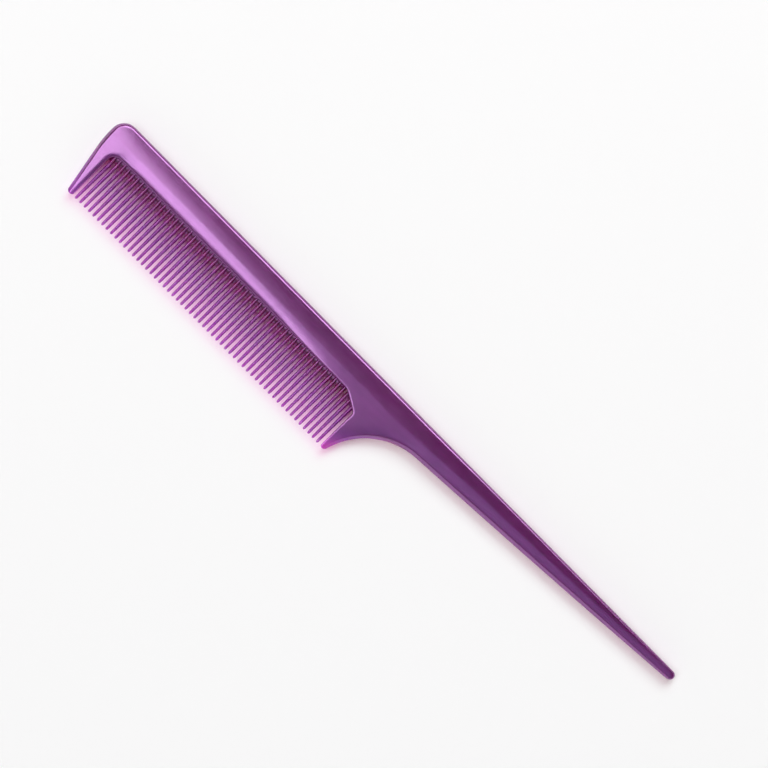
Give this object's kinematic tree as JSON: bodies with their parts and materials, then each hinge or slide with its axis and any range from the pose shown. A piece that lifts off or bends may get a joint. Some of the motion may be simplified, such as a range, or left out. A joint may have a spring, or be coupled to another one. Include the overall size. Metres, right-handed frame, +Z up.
{
  "type": "rat tail comb",
  "caption": "Moulded plastic tail comb: a crowned spine carries fine tapered teeth between end guards and draws out into a long tapering tail for parting and lifting hair.",
  "frame": {"origin": "centre of the bounding box in plan, on the lower face that the comb lies on", "axes": "+X along the comb from the front guard to the tip of the tail, +Y from the teeth to the back edge, +Z up out of the face"},
  "size_m": [0.216, 0.0254, 0.0046],
  "materials": {
    "purple_plastic": "satin moulded, slightly translucent purple"
  },
  "bodies": {
    "root": {"spine": "purple_plastic", "front_guard": "purple_plastic", "rear_guard": "purple_plastic", "tail": "purple_plastic", "tooth_01": "purple_plastic", "tooth_02": "purple_plastic", "tooth_03": "purple_plastic", "tooth_04": "purple_plastic", "tooth_05": "purple_plastic", "tooth_06": "purple_plastic", "tooth_07": "purple_plastic", "tooth_08": "purple_plastic", "tooth_09": "purple_plastic", "tooth_10": "purple_plastic", "tooth_11": "purple_plastic", "tooth_12": "purple_plastic", "tooth_13": "purple_plastic", "tooth_14": "purple_plastic", "tooth_15": "purple_plastic", "tooth_16": "purple_plastic", "tooth_17": "purple_plastic", "tooth_18": "purple_plastic", "tooth_19": "purple_plastic", "tooth_20": "purple_plastic", "tooth_21": "purple_plastic", "tooth_22": "purple_plastic", "tooth_23": "purple_plastic", "tooth_24": "purple_plastic", "tooth_25": "purple_plastic", "tooth_26": "purple_plastic", "tooth_27": "purple_plastic", "tooth_28": "purple_plastic", "tooth_29": "purple_plastic", "tooth_30": "purple_plastic", "tooth_31": "purple_plastic", "tooth_32": "purple_plastic", "tooth_33": "purple_plastic", "tooth_34": "purple_plastic", "tooth_35": "purple_plastic", "tooth_36": "purple_plastic", "tooth_37": "purple_plastic", "tooth_38": "purple_plastic", "tooth_39": "purple_plastic", "tooth_40": "purple_plastic", "tooth_41": "purple_plastic", "tooth_42": "purple_plastic", "tooth_43": "purple_plastic", "tooth_44": "purple_plastic", "tooth_45": "purple_plastic", "tooth_46": "purple_plastic", "tooth_47": "purple_plastic", "tooth_48": "purple_plastic", "tooth_49": "purple_plastic", "tooth_50": "purple_plastic", "tooth_51": "purple_plastic", "tooth_52": "purple_plastic", "tooth_53": "purple_plastic", "tooth_54": "purple_plastic", "tooth_55": "purple_plastic", "tooth_56": "purple_plastic"}
  },
  "joints": []
}
